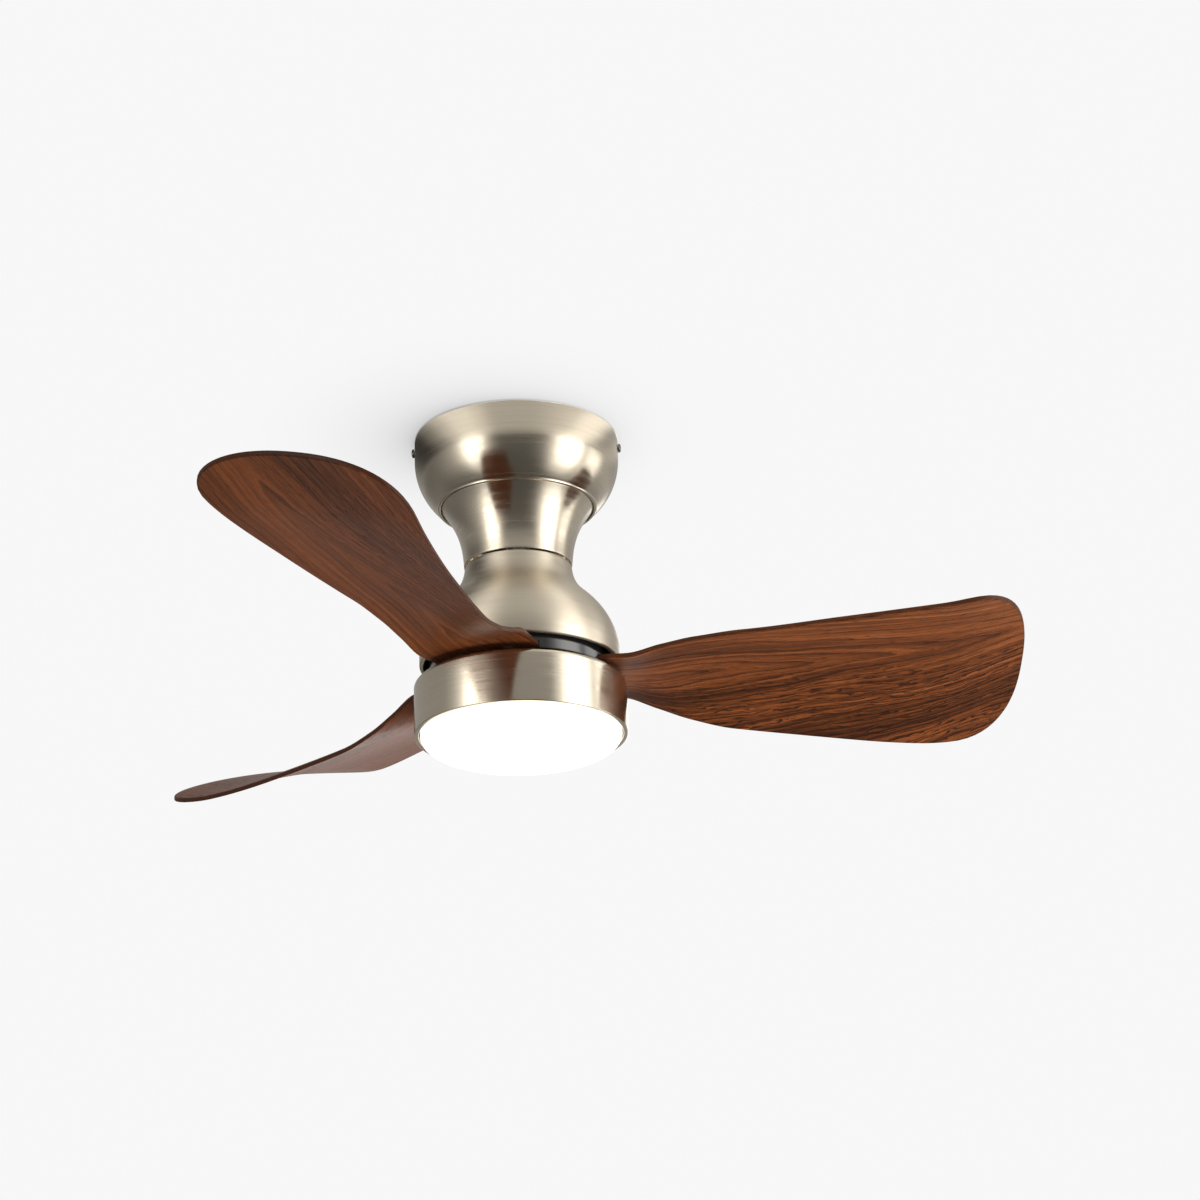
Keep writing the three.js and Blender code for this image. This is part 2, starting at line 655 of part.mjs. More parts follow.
const lampPlate = tube(56, SHAFT.radius + GAP, bracketTop, bracketBottom, 24);
add(fan, "lamp_bracket", cut(lampPlate, ...lampHoles), MATERIAL.zinc);

const nut = rod(13.2, bracketBottom - GAP, bracketBottom - 7, 6);
add(fan, "shaft_nut", cut(nut, rod(SHAFT.radius + GAP, -200, -300, 20)), MATERIAL.steel);

LAMP_SCREWS.angles.forEach((a, i) => {
  const [x, y] = polar(LAMP_SCREWS.radius, a);
  const lampScrew = screw(3.6, 2.2, 1.9, 3.9).rotateX(Math.PI).translate(x, y, bracketBottom - GAP);
  add(fan, `lamp_screw_${i + 1}`, lampScrew, MATERIAL.steel);
});

const DRIVER = { low: [-34, 22, -258], high: [34, 50, -240] };
const driverEar = (x) => block([x - 4, 30, -244], [x + 4, 42, -240]);
const driverBox = join(block(DRIVER.low, DRIVER.high), driverEar(-36), driverEar(36));
add(fan, "led_driver", driverBox, MATERIAL.whitePlastic);

const TRAY = { top: -266.6, bottom: -268.2, radius: 84.5 };
[30, 150, 270].forEach((a, i) => {
  const [x, y] = polar(50, a);
  const standoff = rod(3, bracketBottom - GAP, TRAY.top + GAP, 8).translate(x, y, 0);
  add(fan, `led_standoff_${i + 1}`, standoff, MATERIAL.zinc);
});

// The tray's edge has three notches, and the diffuser three lugs that pass them once it is turned.
const TWIST = 25; // degrees from locked to free
const LUG = { angle: 14, notch: 19, inside: 81.4, top: -264.2, bottom: -266.2, at: [90, 210, 330] };
function sector(inner, outer, centre, width, top, bottom) {
  const [from, to] = [centre - width / 2, centre + width / 2].map((a) => THREE.MathUtils.degToRad(a));
  const shape = new THREE.Shape();
  shape.absarc(0, 0, outer, from, to, false);
  shape.absarc(0, 0, inner, to, from, true);
  const options = { depth: top - bottom, bevelEnabled: false, curveSegments: 4 };
  return new THREE.ExtrudeGeometry(shape, options).translate(0, 0, bottom);
}
const notches = LUG.at.map((a) => sector(LUG.inside - 0.8, 95, a - TWIST, LUG.notch, -260, -275));
const trayDisc = rod(TRAY.radius, TRAY.top, TRAY.bottom, FINE);
add(fan, "led_tray", cut(trayDisc, ...notches), MATERIAL.white);

function ledBoard() {
  const top = TRAY.bottom - GAP;
  const pieces = [rod(72, top, top - 1.6, FINE)];
  const rings = [[24, 6], [44, 10], [62, 14]];
  for (const [radius, count] of rings) {
    for (let i = 0; i < count; i++) {
      const chip = block([radius - 1.8, -1.8, top - 2.4], [radius + 1.8, 1.8, top - 1.5]);
      pieces.push(chip.rotateZ((2 * Math.PI * i) / count));
    }
  }
  return join(...pieces);
}
add(fan, "led_board", ledBoard(), MATERIAL.white);

function diffuserBody() {
  const { radius, wall, lip, shoulder, bottom } = DIFFUSER;
  const v = (x, y) => new THREE.Vector2(x, y);
  const skin = (r, low) => {
    const curve = new THREE.CubicBezierCurve(v(0, low), v(r * 0.71, low), v(r, low + 2), v(r, shoulder));
    return curve.getPoints(6).map((p) => [p.x, p.y]);
  };
  const shell = turned([
    ...skin(radius, bottom),
    [radius, lip],
    [radius - wall, lip],
    ...skin(radius - wall, bottom + wall).reverse(),
  ]);
  const lugs = LUG.at.map((a) => sector(LUG.inside, radius - wall + 0.8, a, LUG.angle, LUG.top, LUG.bottom));
  return join(shell, ...lugs);
}
add(fan, "diffuser", diffuserBody(), MATERIAL.opal);

// ---------------------------------------------------------------- wiring
// The cable runs from the receiver over the ball, down the rod beside its pins, through the hollow
// shaft, and turns across to the lamp's driver.
function innerCable() {
  const beside = 5.75;
  const route = [
    [-42.4, 40, -14],
    [-50, 39, -14],
    [-56, 33, -13],
    [-54, 22, -11.5],
    [-42, 12, -10],
    [-24, 7, -8.8],
    [-10, beside, -9.2],
    [-3, beside, -13],
    [-0.4, beside, -20],
    [0, beside, -30],
    [0, beside, -80],
    [0, beside, -136],
    [0, beside, -146],
    [0, 3, -151.5],
    [0, 0.6, -157],
    [0, 0, -164],
    [0, 0, -200],
    [0, 0, -240],
    [0, 0.8, -246.5],
    [0, 5, -251],
    [0, 12, -252.5],
    [0, 21.5, -252.5],
  ];
  const curve = new THREE.CatmullRomCurve3(route.map((p) => new THREE.Vector3(...p)), false, "centripetal");
  const section = new THREE.Shape().absarc(0, 0, 2.3, 0, 2 * Math.PI);
  return new THREE.ExtrudeGeometry(section, { steps: 46, curveSegments: 4, extrudePath: curve });
}
add(fan, "inner_cable", innerCable(), MATERIAL.cable);

export default fan;
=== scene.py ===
"""A low-profile ceiling fan with a light: fine turned covers, walnut blades and procedural finishes
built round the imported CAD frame. The pieces are worked out in millimetres until a mesh is made. The
camera, the materials and the stage are in metres."""
import itertools
import json
import math

import bmesh
import bpy
import numpy as np
from mathutils import Matrix, Vector


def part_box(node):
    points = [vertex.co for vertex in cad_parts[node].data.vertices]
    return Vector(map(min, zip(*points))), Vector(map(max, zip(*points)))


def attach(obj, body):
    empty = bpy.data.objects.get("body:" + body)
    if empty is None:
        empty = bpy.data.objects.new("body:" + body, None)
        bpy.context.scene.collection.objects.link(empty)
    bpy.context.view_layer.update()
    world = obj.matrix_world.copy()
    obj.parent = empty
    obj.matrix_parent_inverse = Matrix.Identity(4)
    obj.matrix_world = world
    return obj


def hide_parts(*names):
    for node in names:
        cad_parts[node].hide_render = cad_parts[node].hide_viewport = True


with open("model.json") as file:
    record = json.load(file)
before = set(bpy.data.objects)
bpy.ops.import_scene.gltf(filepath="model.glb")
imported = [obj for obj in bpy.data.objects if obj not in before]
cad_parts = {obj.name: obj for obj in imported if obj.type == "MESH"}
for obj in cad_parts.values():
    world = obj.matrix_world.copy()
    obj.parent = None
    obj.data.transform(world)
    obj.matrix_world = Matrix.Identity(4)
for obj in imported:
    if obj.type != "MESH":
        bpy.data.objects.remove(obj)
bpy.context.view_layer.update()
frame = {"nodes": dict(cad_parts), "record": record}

MM = 0.001
nodes = frame["nodes"]
scene = bpy.context.scene

# ---------------------------------------------------------------- camera
CAMERA_PLACE = Vector((0.0710, -2.8477, -1.2673))
CAMERA_PITCH = math.radians(21.36)  # looking up
CAMERA_ROLL = math.radians(-1.54)
CAMERA_LENS, CAMERA_SENSOR = 104.76, 36  # millimetres
CAMERA_REACH = 60

camera_data = bpy.data.cameras.new("camera")
camera_data.sensor_width = CAMERA_SENSOR
camera_data.lens = CAMERA_LENS
camera_data.clip_end = CAMERA_REACH
camera = bpy.data.objects.new("camera", camera_data)
scene.collection.objects.link(camera)
level = Matrix.Rotation(math.pi / 2 + CAMERA_PITCH, 4, "X")
camera.matrix_world = Matrix.Translation(CAMERA_PLACE) @ level @ Matrix.Rotation(CAMERA_ROLL, 4, "Z")
scene.camera = camera
scene.view_settings.view_transform = "Standard"


# ---------------------------------------------------------------- mesh helpers
def link(name, mesh):
    piece = bpy.data.objects.new(name, mesh)
    scene.collection.objects.link(piece)
    return piece


def mesh_of(name, points, faces, sharp=40):
    mesh = bpy.data.meshes.new(name)
    mesh.from_pydata([tuple(p) for p in points], [], faces)
    finish_mesh(mesh, sharp)
    return mesh


def finish_mesh(mesh, sharp=40):
    """Merges doubled points, turns the faces outward and shades smooth except across sharp edges."""
    bm = bmesh.new()
    bm.from_mesh(mesh)
    bmesh.ops.remove_doubles(bm, verts=bm.verts, dist=1e-7)
    bmesh.ops.recalc_face_normals(bm, faces=bm.faces)
    limit = math.radians(sharp)
    for face in bm.faces:
        face.smooth = True
    for edge in bm.edges:
        edge.smooth = len(edge.link_faces) == 2 and edge.calc_face_angle(0) < limit
    bm.to_mesh(mesh)
    bm.free()


def rounded(corners, steps=5):
    """An outline of (r, z) points, where a corner given as (r, z, radius) is rounded to that radius."""
    out = []
    count = len(corners)
    for i, corner in enumerate(corners):
        if len(corner) == 2 or corner[2] == 0:
            out.append((corner[0], corner[1]))
            continue
        here = np.array(corner[:2], float)
        before = np.array(corners[i - 1][:2], float) - here
        after = np.array(corners[(i + 1) % count][:2], float) - here
        before_length, after_length = np.linalg.norm(before), np.linalg.norm(after)
        before, after = before / before_length, after / after_length
        half = math.acos(max(-1, min(1, float(before @ after)))) / 2
        if half > math.pi / 2 - 0.02:
            out.append(tuple(here))
            continue
        reach = min(corner[2] / math.tan(half), before_length * 0.49, after_length * 0.49)
        radius = reach * math.tan(half)
        middle = (before + after) / np.linalg.norm(before + after)
        centre = here + middle * radius / math.sin(half)
        start, end = here + before * reach - centre, here + after * reach - centre
        for k in range(steps + 1):
            t = k / steps
            arm = start * (1 - t) + end * t
            out.append(tuple(centre + arm / np.linalg.norm(arm) * radius))
    return out


def bezier(p0, p1, p2, p3, count):
    t = np.linspace(0, 1, count)[:, None]
    p0, p1, p2, p3 = (np.array(p, float) for p in (p0, p1, p2, p3))
    curve = (1 - t) ** 3 * p0 + 3 * (1 - t) ** 2 * t * p1 + 3 * (1 - t) * t * t * p2 + t**3 * p3
    return [tuple(p) for p in curve]


def offset(line, distance):
    """The line moved sideways by distance, towards its left."""
    points = np.array(line, float)
    along = np.gradient(points, axis=0)
    along /= np.linalg.norm(along, axis=1)[:, None]
    return [tuple(p) for p in points + distance * np.c_[-along[:, 1], along[:, 0]]]


def turned(name, outline, segments):
    """A closed outline of (r, z) turned round the Z axis. Points on the axis become one point."""
    angles = np.linspace(0, 2 * math.pi, segments, endpoint=False)
    points, rings = [], []
    for r, z in outline:
        if r < 1e-6:
            rings.append([len(points)] * segments)
            points.append((0, 0, z * MM))
        else:
            rings.append(list(range(len(points), len(points) + segments)))
            points += [(r * MM * math.cos(a), r * MM * math.sin(a), z * MM) for a in angles]
    faces = []
    count = len(outline)
    on_axis = outline[0][0] < 1e-6 and outline[-1][0] < 1e-6
    for i in range(count - 1 if on_axis else count):
        low, high = rings[i], rings[(i + 1) % count]
        for j in range(segments):
            k = (j + 1) % segments
            face = []
            for v in (low[j], low[k], high[k], high[j]):
                if v not in face:
                    face.append(v)
            if len(face) > 2:
                faces.append(face)
    return mesh_of(name, points, faces, sharp=35)


def boolean(mesh, cutters, operation="DIFFERENCE"):
    """The mesh cut by, or joined with, each of the cutter meshes in turn."""
    body = link("boolean_body", mesh)
    for cutter_mesh in cutters:
        cutter = link("boolean_cutter", cutter_mesh)
        modifier = body.modifiers.new("boolean", "BOOLEAN")
        modifier.operation = operation
        modifier.solver = "EXACT"
        modifier.object = cutter
        depsgraph = bpy.context.evaluated_depsgraph_get()
        body.data = bpy.data.meshes.new_from_object(body.evaluated_get(depsgraph))
        body.modifiers.clear()
        bpy.data.objects.remove(cutter)
    result = body.data
    bpy.data.objects.remove(body)
    finish_mesh(result)
    return result


def box_mesh(low, high):
    corners = [Vector(corner) * MM for corner in itertools.product(*zip(low, high))]
    faces = [(0, 1, 3, 2), (4, 6, 7, 5), (0, 4, 5, 1), (2, 3, 7, 6), (0, 2, 6, 4), (1, 5, 7, 3)]
    return mesh_of("box", corners, faces)


def place(name, mesh, body, material, replaced):
    """Adds a piece that rides on a body and stands for a CAD node."""
    piece = link(name, mesh)
    mesh.name = name
    mesh.materials.clear()
    mesh.materials.append(material)
    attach(piece, body)
    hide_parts(replaced)


# ---------------------------------------------------------------- node helpers
class Graph:
    """A short way to write the nodes of a material or a world: most methods add nodes and return the
    output of the last."""

    CURVE_TOP = 4.0

    def __init__(self, owner):
        owner.use_nodes = True
        self.owner = owner
        self.tree = owner.node_tree
        self.output = next(node for node in self.tree.nodes if "Output" in node.bl_idname)
        self.shader = next(node for node in self.tree.nodes if node is not self.output)

    def new(self, kind, inputs=(), **settings):
        node = self.tree.nodes.new(kind)
        for key, value in settings.items():
            setattr(node, key, value)
        for key, value in dict(inputs).items():
            self.put(node.inputs[key], value)
        return node

    def put(self, socket, value):
        if isinstance(value, bpy.types.NodeSocket):
            self.tree.links.new(value, socket)
        else:
            socket.default_value = value

    def place(self):
        return self.new("ShaderNodeTexCoord").outputs["Object"]

    def attribute(self, name):
        return self.new("ShaderNodeAttribute", attribute_name=name).outputs["Vector"]

    def math(self, operation, a, b=0.0, c=0.0, clamp=False):
        node = self.new("ShaderNodeMath", operation=operation, use_clamp=clamp)
        for socket, value in zip(node.inputs, (a, b, c)):
            self.put(socket, value)
        return node.outputs[0]

    def split(self, vector):
        return self.new("ShaderNodeSeparateXYZ", {0: vector}).outputs

    def combine(self, x, y, z):
        return self.new("ShaderNodeCombineXYZ", {0: x, 1: y, 2: z}).outputs[0]

    def from_axis(self, x, y):
        """The distance of x, y from the Z axis."""
        return self.math("SQRT", self.math("ADD", self.math("MULTIPLY", x, x), self.math("MULTIPLY", y, y)))

    def stretch(self, vector, scale):
        return self.new("ShaderNodeMapping", {"Vector": vector, "Scale": scale}).outputs[0]

    def noise(self, vector, scale, detail=3.0, roughness=0.5, w=None):
        inputs = {"Vector": vector, "Scale": scale, "Detail": detail, "Roughness": roughness}
        if w is None:
            return self.new("ShaderNodeTexNoise", inputs).outputs["Fac"]
        node = self.new("ShaderNodeTexNoise", noise_dimensions="4D")
        for key, value in {**inputs, "W": w}.items():
            self.put(node.inputs[key], value)
        return node.outputs["Fac"]

    def spread(self, value, low, high, to_low=0.0, to_high=1.0):
        inputs = {"Value": value, "From Min": low, "From Max": high, "To Min": to_low, "To Max": to_high}
        return self.new("ShaderNodeMapRange", inputs).outputs[0]

    def curve(self, value, points):
        """The height of a smooth line through (position, height) points, 0 to 1 along and 0 to
        CURVE_TOP up."""
        node = self.new("ShaderNodeFloatCurve", {"Value": value})
        line = node.mapping.curves[0]
        while len(line.points) < len(points):
            line.points.new(0.5, 0.5)
        for point, (position, height) in zip(line.points, points):
            point.location = (position, height / self.CURVE_TOP)
            point.handle_type = "AUTO_CLAMPED"
        node.mapping.update()
        return self.math("MULTIPLY", node.outputs[0], self.CURVE_TOP)

    def ramp(self, value, stops):
        node = self.new("ShaderNodeValToRGB", {0: value})
        elements = node.color_ramp.elements
        while len(elements) < len(stops):
            elements.new(0.5)
        for element, (position, colour) in zip(elements, stops):
            element.position = position
            element.color = (*colour, 1)
        return node.outputs[0]

    def mix(self, factor, a, b):
        node = self.new("ShaderNodeMix", data_type="RGBA")
        self.put(node.inputs["Factor"], factor)
        for socket, value in ((node.inputs[6], a), (node.inputs[7], b)):
            self.put(socket, (*value, 1) if isinstance(value, tuple) and len(value) == 3 else value)
        return node.outputs[2]

    def bump(self, height, strength, distance):
        inputs = {"Height": height, "Strength": strength, "Distance": distance}
        return self.new("ShaderNodeBump", inputs).outputs[0]

    def choose(self, factor, first, second):
        """The first shader where the factor is 0 and the second where it is 1."""
        return self.new("ShaderNodeMixShader", {0: factor, 1: first, 2: second}).outputs[0]

    def set(self, **values):
        for key, value in values.items():
            name = key.replace("_", " ")
            if isinstance(value, tuple) and len(value) == 3:
                value = (*value, 1)
            self.put(self.shader.inputs[name], value)
        return self.owner


def new_finish(name):
    return Graph(bpy.data.materials.new(name))


# ---------------------------------------------------------------- finishes
def nickel_material(name, dullness):
    """Warm nickel, brushed round the axis: long fine strokes and broader bands that roughen and tint
    the metal. Dullness is added to its roughness."""
    strokes_per_metre, fine_scale, broad_scale = 900.0, 2.6, 0.35
    dark, light, band = (0.56, 0.485, 0.375), (0.70, 0.625, 0.505), (0.66, 0.59, 0.48)
    g = new_finish(name)
    x, y, z = g.split(g.place())[:3]
    r = g.from_axis(x, y)
    height = g.math("MULTIPLY", z, strokes_per_metre)
    around = g.combine(g.math("DIVIDE", x, r), g.math("DIVIDE", y, r), height)
    across = g.math("MULTIPLY", r, strokes_per_metre)
    fine = g.noise(around, fine_scale, 4.0, 0.65, w=g.math("MULTIPLY", across, fine_scale))
    broad = g.noise(around, broad_scale, 2.0, 0.5, w=g.math("MULTIPLY", across, broad_scale))
    cloud = g.noise(g.place(), 14.0, 3.0, 0.5)
    tint = g.mix(fine, dark, light)
    tint = g.mix(g.spread(broad, 0.35, 0.65, 0.0, 0.5), tint, band)
    rough = g.math("ADD", g.spread(fine, 0.3, 0.7, 0.15, 0.24), g.spread(cloud, 0.3, 0.7, -0.02, 0.03))
    rough = g.math("ADD", rough, g.spread(broad, 0.35, 0.65, dullness + 0.05, dullness - 0.03))
    normal = g.bump(g.mix(0.5, fine, broad), 0.10, 0.0004)
    g.set(Base_Color=tint, Metallic=1.0, Roughness=rough, Normal=normal)
    g.set(Anisotropic=0.6, Anisotropic_Rotation=0.25)
    tangent = g.new("ShaderNodeTangent", direction_type="RADIAL", axis="Z")
    return g.set(Tangent=tangent.outputs[0])


def plain_metal(name, dark, light, rough_low, rough_high):
    """Bare or plated metal with fine strokes along the axis."""
    strokes = (400, 400, 40)
    g = new_finish(name)
    grain = g.noise(g.stretch(g.place(), strokes), 6.0, 4.0, 0.6)
    cloud = g.noise(g.place(), 90.0, 3.0)
    tint = g.mix(g.mix(0.5, grain, cloud), dark, light)
    rough = g.spread(cloud, 0.3, 0.7, rough_low, rough_high)
    normal = g.bump(grain, 0.1, 0.0002)
    return g.set(Base_Color=tint, Metallic=1.0, Roughness=rough, Normal=normal)


def painted(name, dark, light, rough_low, rough_high, peel, coat=0.0):
    """Paint or plastic: a fine orange-peel or grained surface with slight unevenness."""
    g = new_finish(name)
    grain = g.noise(g.place(), 900.0, 3.0, 0.6)
    cloud = g.noise(g.place(), 45.0, 3.0)
    tint = g.mix(cloud, dark, light)
    rough = g.spread(grain, 0.3, 0.7, rough_low, rough_high)
    normal = g.bump(grain, peel, 0.0004)
    g.set(Base_Color=tint, Roughness=rough, Normal=normal)
    return g.set(Coat_Weight=coat, Coat_Roughness=0.08)


def walnut_material():
    """Satin walnut film: a red-brown ground, growth lines that bend into pointed arches along the
    blade's middle, straight fibres, and short dark ripples that crowd along the trailing side.
    Each blade sets its own tone and how strongly the figure is drawn; these stand partly for painted
    light: a darker tone for shade, a weaker figure for the sheen that pales the grain. The edges darken,
    partly as the film's dark edge and partly as painted shade."""
    arch_power, rings_per_metre, ripples_per_metre = 1.4, 135.0, 270.0
    heart_across, cone_slope, cone_start = 0.006, 0.085, 0.002
    # The edge colour is partly the film's dark edge and partly painted shade on the blade's edges.
    mark_colour, dark_edge_and_shade_colour = (0.018, 0.006, 0.003), (0.022, 0.008, 0.004)
    g = new_finish("walnut")
    along, across, seed = g.split(g.attribute("grain"))[:3]
    tone, figure, rim = g.split(g.attribute("film"))[:3]

    def streaks(along_scale, across_scale, detail, roughness=0.5, line=across):
        length, width = g.math("MULTIPLY", along, along_scale), g.math("MULTIPLY", line, across_scale)
        return g.noise(g.combine(length, width, seed), 1.0, detail, roughness)

    def centred(value, size):
        return g.math("MULTIPLY", g.math("SUBTRACT", value, 0.5), size)

    # The film is a slice through nested cones, so each growth line is a pointed arch.
    sway, waver = centred(streaks(5.0, 12.0, 2.0), 0.026), centred(streaks(30.0, 120.0, 2.0), 0.004)
    sway = g.math("ADD", sway, waver)
    side = g.math("ABSOLUTE", g.math("ADD", g.math("SUBTRACT", across, heart_across), sway))
    depth = g.math("MULTIPLY_ADD", along, cone_slope, cone_start)
    ring = g.math("ADD", g.math("POWER", side, arch_power), g.math("POWER", depth, arch_power))
    ring = g.math("POWER", ring, 1 / arch_power)

    patches = streaks(3.0, 34.0, 2.0, line=ring)
    lines = streaks(1.8, 330.0, 5.0, 0.72, line=ring)
    phase = g.math("MULTIPLY_ADD", ring, rings_per_metre, centred(streaks(2.5, 40.0, 2.0), 1.8))
    growth = g.math("POWER", g.math("FRACT", phase), 3.0)
    fibre = streaks(16.0, 1150.0, 3.0, 0.75)
    trailing = g.spread(g.math("ADD", across, centred(streaks(4.0, 26.0, 2.0), 0.07)), 0.002, 0.040)
    wave = g.math("MULTIPLY_ADD", ring, ripples_per_metre, centred(streaks(24.0, 80.0, 3.0), 5.4))
    wave = g.spread(g.math("FRACT", wave), 0.42, 0.85)
    broken = g.spread(streaks(30.0, 330.0, 2.0), 0.38, 0.50)
    crowding = g.math("MULTIPLY_ADD", trailing, 0.9, 0.1)
    ripple = g.math("MULTIPLY", g.math("MULTIPLY", wave, broken), crowding)
    pores = g.spread(streaks(85.0, 860.0, 1.0), 0.60, 0.66)
    marks = g.math("MAXIMUM", ripple, g.math("MULTIPLY", pores, 0.6))

    value = g.math("ADD", centred(lines, 1.9), centred(patches, 1.3))
    value = g.math("ADD", value, centred(fibre, 1.25))
    value = g.math("MULTIPLY_ADD", growth, -0.45, value)
    # Each blade's tone and figure strength: partly painted shade and painted sheen.
    value = g.math("MULTIPLY_ADD", value, figure, g.math("ADD", tone, 0.60))
    value = g.math("MAXIMUM", g.math("MULTIPLY_ADD", trailing, -0.10, value), 0.0)
    colour = g.ramp(
        value,
        [
            (0.05, (0.028, 0.0092, 0.0042)),
            (0.30, (0.069, 0.0205, 0.0068)),
            (0.55, (0.128, 0.0355, 0.0098)),
            (0.78, (0.188, 0.0540, 0.0150)),
            (0.98, (0.252, 0.0780, 0.0230)),
        ],
    )
    drawn = g.math("MULTIPLY", marks, g.math("MULTIPLY", figure, 0.9))
    colour = g.mix(drawn, colour, mark_colour)
    # Darker within about 1.4 mm of the edge: partly the film's dark edge, partly painted shade.
    colour = g.mix(g.spread(rim, 0.0003, 0.0014, 0.5, 0.0), colour, dark_edge_and_shade_colour)
    rough = g.math("ADD", g.spread(fibre, 0.3, 0.7, 0.34, 0.44), g.math("MULTIPLY", marks, 0.12))
    height = g.math("SUBTRACT", g.math("MULTIPLY", fibre, 0.35), marks)
    g.set(Base_Color=colour, Roughness=rough, Normal=g.bump(height, 0.08, 0.0003))
    return g.set(Coat_Weight=0.05, Coat_Roughness=0.3, Specular_IOR_Level=0.14)


def opal_material():
    """Opal acrylic lit from behind, a little dimmer towards its rim."""
    g = new_finish("opal_acrylic")
    x, y = g.split(g.place())[:2]
    grain = g.noise(g.place(), 1300.0, 2.0)
    rim = g.spread(g.from_axis(x, y), 0.070, 0.0875)
    glow = g.mix(rim, (1.0, 0.985, 0.95), (0.96, 0.92, 0.84))
    glow = g.mix(g.spread(grain, 0.3, 0.7, 0.0, 0.04), glow, (0.9, 0.88, 0.82))
    rough = g.spread(grain, 0.3, 0.7, 0.28, 0.36)
    g.set(Base_Color=g.mix(grain, (0.86, 0.85, 0.82), (0.92, 0.91, 0.88)), Roughness=rough)
    g.set(Emission_Color=glow, Emission_Strength=1.15)
    return g.set(Normal=g.bump(grain, 0.03, 0.0002))


def board_material():
    """White solder mask with the yellow phosphor of the chips that stand below it."""
    g = new_finish("led_board")
    chip_height = 0.5 * MM
    z = g.split(g.place())[2]
    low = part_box("led_board")[0].z
    chip = g.math("LESS_THAN", z, low + chip_height)
    speck = g.noise(g.place(), 700.0, 2.0)
    ground = g.mix(speck, (0.78, 0.78, 0.76), (0.88, 0.88, 0.86))
    tint = g.mix(chip, ground, (0.85, 0.66, 0.16))
    return g.set(Base_Color=tint, Roughness=g.spread(speck, 0.3, 0.7, 0.35, 0.5))


def winding_material():
    """Enamelled copper wire, wound in fine turns."""
    g = new_finish("copper_winding")
    inputs = {"Vector": g.place(), "Scale": 420.0, "Distortion": 1.2}
    turn = g.new("ShaderNodeTexWave", inputs, bands_direction="Z").outputs["Fac"]
    tint = g.mix(turn, (0.28, 0.085, 0.03), (0.62, 0.25, 0.10))
    g.set(Base_Color=tint, Metallic=1.0, Roughness=g.spread(turn, 0.0, 1.0, 0.42, 0.28))
    return g.set(Normal=g.bump(turn, 0.35, 0.0003))


# Each row gives a name, the darkest and lightest colour, and the lowest and highest roughness. Paint
# has the depth of its orange peel after that, and where it is glossy its clear coat.
FINISH = {
    "nickel": nickel_material("brushed_nickel", 0.0),
    "zinc_steel": plain_metal("zinc_plate", (0.50, 0.50, 0.47), (0.68, 0.68, 0.64), 0.28, 0.42),
    "bright_steel": plain_metal("machined_steel", (0.45, 0.45, 0.45), (0.66, 0.66, 0.65), 0.2, 0.34),
    "walnut": walnut_material(),
    "opal": opal_material(),
    "white_board": board_material(),
    "copper_wire": winding_material(),
}
PAINT = {
    "black_metal": ("black_casting", (0.012, 0.012, 0.012), (0.026, 0.025, 0.024), 0.38, 0.55, 0.12),
    "gloss_black": ("gloss_black", (0.008, 0.008, 0.008), (0.016, 0.015, 0.015), 0.10, 0.16, 0.04, 1.0),
    "black_plastic": ("black_nylon", (0.012, 0.012, 0.013), (0.028, 0.028, 0.028), 0.4, 0.55, 0.1),
    "white_plastic": ("white_plastic", (0.74, 0.74, 0.71), (0.84, 0.84, 0.81), 0.38, 0.5, 0.08),
    "grey_plastic": ("grey_plastic", (0.035, 0.036, 0.039), (0.060, 0.061, 0.065), 0.45, 0.6, 0.15),
    "white_metal": ("white_powder_coat", (0.78, 0.78, 0.75), (0.87, 0.87, 0.84), 0.4, 0.55, 0.12),
    "ferrite": ("ferrite", (0.030, 0.028, 0.027), (0.055, 0.052, 0.050), 0.6, 0.8, 0.2),
    "cable": ("cable_sheath", (0.014, 0.014, 0.015), (0.026, 0.026, 0.027), 0.42, 0.56, 0.1),
}
FINISH.update({slot: painted(*row) for slot, row in PAINT.items()})
SATIN = nickel_material("satin_nickel", 0.16)
BURNISHED = plain_metal("burnished_nickel", (0.20, 0.17, 0.14), (0.34, 0.30, 0.25), 0.10, 0.18)

slot_of = {part["node"]: part["material_slot"] for part in frame["record"]["subparts"]}
bodies = frame["record"]["behaviour"]["bodies"]
body_of = {node: body for body, members in bodies.items() for node in members}

# ---------------------------------------------------------------- covers turned round the axis
SHEET = 1.2


def ends(node):
    """A node's lowest and highest corners, in millimetres."""
    return [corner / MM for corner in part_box(node)]


def canopy_mesh():
    """The bowl over the ceiling bracket, with a lip turned in round its mouth."""
    low, high = ends("canopy")
    radius, top, floor = high.x, high.z, low.z
    bowl, wall, mouth, ledge = 60.0, 20.0, 70.5, 67.9
    wall_rows = (-5, -12)
    centre = radius - bowl
    end = math.acos((mouth - centre) / bowl)
    arc = [(centre + bowl * math.cos(a), -wall - bowl * math.sin(a)) for a in np.linspace(0, end, 48)]
    inner = offset(arc, -SHEET)[:-2]
    outline = [(radius - SHEET, top, 0.5), (radius, top, 0.5)]
    outline += [(radius, z) for z in wall_rows] + arc
    outline += [(mouth - 0.35, floor, 0.7), (ledge, floor, 0.4)]
    outline += [(ledge, floor + SHEET, 0.3), (mouth - SHEET, floor + SHEET)]
    outline += inner[::-1] + [(radius - SHEET, z) for z in wall_rows[::-1]]
    return turned("canopy_cover", rounded(outline), 256)


